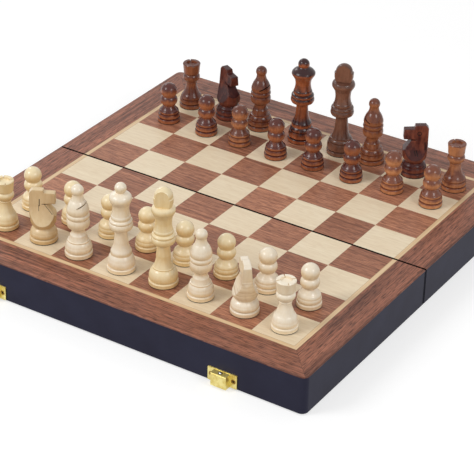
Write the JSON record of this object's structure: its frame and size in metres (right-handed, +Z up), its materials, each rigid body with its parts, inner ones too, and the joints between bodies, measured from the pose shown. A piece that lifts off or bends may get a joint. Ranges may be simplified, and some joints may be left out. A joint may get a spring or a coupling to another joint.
{
  "type": "chess box with hinged lid",
  "caption": "Folding chess box: two shallow trays hinged underneath open flat into an inlaid board and shut with snap catches and hasps; a set of turned wooden men stands on it.",
  "frame": {"origin": "half way along the seam between the two trays, at the table: the underside of the hinge knuckles, with the box open flat and the board up", "axes": "+X along the ranks, from file a to file h; +Y from the light side (front tray, catches) to the dark side (back tray, hasps); +Z up"},
  "size_m": [0.306, 0.3238, 0.1006],
  "materials": {
    "dark_veneer": "walnut veneer, satin lacquer, grain along the seam in the squares and along each border strip",
    "light_veneer": "maple veneer, satin lacquer",
    "string_veneer": "pale honey stringing, satin lacquer",
    "wall_lacquer": "rails lacquered blue-black outside, satin; bare inside faces",
    "plywood": "bare plywood panel",
    "lining": "dark green felt on card",
    "brass": "bright lacquered brass",
    "ball_steel": "polished steel ball",
    "spring_steel": "spring wire",
    "light_man": "boxwood coloured, clear gloss lacquer, felt disc below",
    "dark_man": "stained brown, clear gloss lacquer, felt disc below"
  },
  "bodies": {
    "front_half": {"front_rails": "wall_lacquer", "front_panel": "plywood", "front_lining": "lining", "front_dark_squares": "dark_veneer", "front_light_squares": "light_veneer", "front_stringing": "string_veneer", "front_border": "dark_veneer", "front_screws": "brass", "hinge_leaves_front": "brass", "hinge_pins": "brass", "catch_plates": "brass", "catch_spring_left": "spring_steel", "catch_spring_right": "spring_steel"},
    "back_half": {"back_rails": "wall_lacquer", "back_panel": "plywood", "back_lining": "lining", "back_dark_squares": "dark_veneer", "back_light_squares": "light_veneer", "back_stringing": "string_veneer", "back_border": "dark_veneer", "back_screws": "brass", "hinge_leaves_back": "brass", "hasp_plates": "brass", "hasp_pins": "brass"},
    "catch_ball_left": {"catch_ball_left": "ball_steel"},
    "catch_ball_right": {"catch_ball_right": "ball_steel"},
    "hasp_left": {"hasp_strap_left": "brass"},
    "hasp_right": {"hasp_strap_right": "brass"},
    "light_rook_a": {"light_rook_a": "light_man"},
    "light_knight_b": {"light_knight_b": "light_man"},
    "light_bishop_c": {"light_bishop_c": "light_man"},
    "light_queen": {"light_queen": "light_man"},
    "light_king": {"light_king": "light_man"},
    "light_bishop_f": {"light_bishop_f": "light_man"},
    "light_knight_g": {"light_knight_g": "light_man"},
    "light_rook_h": {"light_rook_h": "light_man"},
    "light_pawn_a": {"light_pawn_a": "light_man"},
    "light_pawn_b": {"light_pawn_b": "light_man"},
    "light_pawn_c": {"light_pawn_c": "light_man"},
    "light_pawn_d": {"light_pawn_d": "light_man"},
    "light_pawn_e": {"light_pawn_e": "light_man"},
    "light_pawn_f": {"light_pawn_f": "light_man"},
    "light_pawn_g": {"light_pawn_g": "light_man"},
    "light_pawn_h": {"light_pawn_h": "light_man"},
    "dark_rook_a": {"dark_rook_a": "dark_man"},
    "dark_knight_b": {"dark_knight_b": "dark_man"},
    "dark_bishop_c": {"dark_bishop_c": "dark_man"},
    "dark_queen": {"dark_queen": "dark_man"},
    "dark_king": {"dark_king": "dark_man"},
    "dark_bishop_f": {"dark_bishop_f": "dark_man"},
    "dark_knight_g": {"dark_knight_g": "dark_man"},
    "dark_rook_h": {"dark_rook_h": "dark_man"},
    "dark_pawn_a": {"dark_pawn_a": "dark_man"},
    "dark_pawn_b": {"dark_pawn_b": "dark_man"},
    "dark_pawn_c": {"dark_pawn_c": "dark_man"},
    "dark_pawn_d": {"dark_pawn_d": "dark_man"},
    "dark_pawn_e": {"dark_pawn_e": "dark_man"},
    "dark_pawn_f": {"dark_pawn_f": "dark_man"},
    "dark_pawn_g": {"dark_pawn_g": "dark_man"},
    "dark_pawn_h": {"dark_pawn_h": "dark_man"}
  },
  "joints": [
    {"name": "box_fold", "type": "hinge", "parent": "front_half", "child": "back_half", "pos_m": [0, 0, 0.001], "axis": [-1, 0, 0], "range_deg": [0, 180]},
    {"name": "catch_press_left", "type": "slide", "parent": "front_half", "child": "catch_ball_left", "axis": [0, 0, -1], "range_m": [0, 0.0006], "stiffness_N_per_m": 200, "springref_m": -0.001, "deforming": ["catch_spring_left"]},
    {"name": "catch_press_right", "type": "slide", "parent": "front_half", "child": "catch_ball_right", "axis": [0, 0, -1], "range_m": [0, 0.0006], "stiffness_N_per_m": 200, "springref_m": -0.001, "deforming": ["catch_spring_right"]},
    {"name": "hasp_swing_left", "type": "hinge", "parent": "back_half", "child": "hasp_left", "pos_m": [-0.0925, 0.1606, 0.00615], "axis": [-1, 0, 0], "range_deg": [0, 186.8]},
    {"name": "hasp_swing_right", "type": "hinge", "parent": "back_half", "child": "hasp_right", "pos_m": [0.0925, 0.1606, 0.00615], "axis": [-1, 0, 0], "range_deg": [0, 186.8]},
    {"name": "lift_light_rook_a", "type": "slide", "parent": "front_half", "child": "light_rook_a", "axis": [0, 0, 1], "range_m": [0, 0.1]},
    {"name": "lift_light_knight_b", "type": "slide", "parent": "front_half", "child": "light_knight_b", "axis": [0, 0, 1], "range_m": [0, 0.1]},
    {"name": "lift_light_bishop_c", "type": "slide", "parent": "front_half", "child": "light_bishop_c", "axis": [0, 0, 1], "range_m": [0, 0.1]},
    {"name": "lift_light_queen", "type": "slide", "parent": "front_half", "child": "light_queen", "axis": [0, 0, 1], "range_m": [0, 0.1]},
    {"name": "lift_light_king", "type": "slide", "parent": "front_half", "child": "light_king", "axis": [0, 0, 1], "range_m": [0, 0.1]},
    {"name": "lift_light_bishop_f", "type": "slide", "parent": "front_half", "child": "light_bishop_f", "axis": [0, 0, 1], "range_m": [0, 0.1]},
    {"name": "lift_light_knight_g", "type": "slide", "parent": "front_half", "child": "light_knight_g", "axis": [0, 0, 1], "range_m": [0, 0.1]},
    {"name": "lift_light_rook_h", "type": "slide", "parent": "front_half", "child": "light_rook_h", "axis": [0, 0, 1], "range_m": [0, 0.1]},
    {"name": "lift_light_pawn_a", "type": "slide", "parent": "front_half", "child": "light_pawn_a", "axis": [0, 0, 1], "range_m": [0, 0.1]},
    {"name": "lift_light_pawn_b", "type": "slide", "parent": "front_half", "child": "light_pawn_b", "axis": [0, 0, 1], "range_m": [0, 0.1]},
    {"name": "lift_light_pawn_c", "type": "slide", "parent": "front_half", "child": "light_pawn_c", "axis": [0, 0, 1], "range_m": [0, 0.1]},
    {"name": "lift_light_pawn_d", "type": "slide", "parent": "front_half", "child": "light_pawn_d", "axis": [0, 0, 1], "range_m": [0, 0.1]},
    {"name": "lift_light_pawn_e", "type": "slide", "parent": "front_half", "child": "light_pawn_e", "axis": [0, 0, 1], "range_m": [0, 0.1]},
    {"name": "lift_light_pawn_f", "type": "slide", "parent": "front_half", "child": "light_pawn_f", "axis": [0, 0, 1], "range_m": [0, 0.1]},
    {"name": "lift_light_pawn_g", "type": "slide", "parent": "front_half", "child": "light_pawn_g", "axis": [0, 0, 1], "range_m": [0, 0.1]},
    {"name": "lift_light_pawn_h", "type": "slide", "parent": "front_half", "child": "light_pawn_h", "axis": [0, 0, 1], "range_m": [0, 0.1]},
    {"name": "lift_dark_rook_a", "type": "slide", "parent": "back_half", "child": "dark_rook_a", "axis": [0, 0, 1], "range_m": [0, 0.1]},
    {"name": "lift_dark_knight_b", "type": "slide", "parent": "back_half", "child": "dark_knight_b", "axis": [0, 0, 1], "range_m": [0, 0.1]},
    {"name": "lift_dark_bishop_c", "type": "slide", "parent": "back_half", "child": "dark_bishop_c", "axis": [0, 0, 1], "range_m": [0, 0.1]},
    {"name": "lift_dark_queen", "type": "slide", "parent": "back_half", "child": "dark_queen", "axis": [0, 0, 1], "range_m": [0, 0.1]},
    {"name": "lift_dark_king", "type": "slide", "parent": "back_half", "child": "dark_king", "axis": [0, 0, 1], "range_m": [0, 0.1]},
    {"name": "lift_dark_bishop_f", "type": "slide", "parent": "back_half", "child": "dark_bishop_f", "axis": [0, 0, 1], "range_m": [0, 0.1]},
    {"name": "lift_dark_knight_g", "type": "slide", "parent": "back_half", "child": "dark_knight_g", "axis": [0, 0, 1], "range_m": [0, 0.1]},
    {"name": "lift_dark_rook_h", "type": "slide", "parent": "back_half", "child": "dark_rook_h", "axis": [0, 0, 1], "range_m": [0, 0.1]},
    {"name": "lift_dark_pawn_a", "type": "slide", "parent": "back_half", "child": "dark_pawn_a", "axis": [0, 0, 1], "range_m": [0, 0.1]},
    {"name": "lift_dark_pawn_b", "type": "slide", "parent": "back_half", "child": "dark_pawn_b", "axis": [0, 0, 1], "range_m": [0, 0.1]},
    {"name": "lift_dark_pawn_c", "type": "slide", "parent": "back_half", "child": "dark_pawn_c", "axis": [0, 0, 1], "range_m": [0, 0.1]},
    {"name": "lift_dark_pawn_d", "type": "slide", "parent": "back_half", "child": "dark_pawn_d", "axis": [0, 0, 1], "range_m": [0, 0.1]},
    {"name": "lift_dark_pawn_e", "type": "slide", "parent": "back_half", "child": "dark_pawn_e", "axis": [0, 0, 1], "range_m": [0, 0.1]},
    {"name": "lift_dark_pawn_f", "type": "slide", "parent": "back_half", "child": "dark_pawn_f", "axis": [0, 0, 1], "range_m": [0, 0.1]},
    {"name": "lift_dark_pawn_g", "type": "slide", "parent": "back_half", "child": "dark_pawn_g", "axis": [0, 0, 1], "range_m": [0, 0.1]},
    {"name": "lift_dark_pawn_h", "type": "slide", "parent": "back_half", "child": "dark_pawn_h", "axis": [0, 0, 1], "range_m": [0, 0.1]}
  ]
}
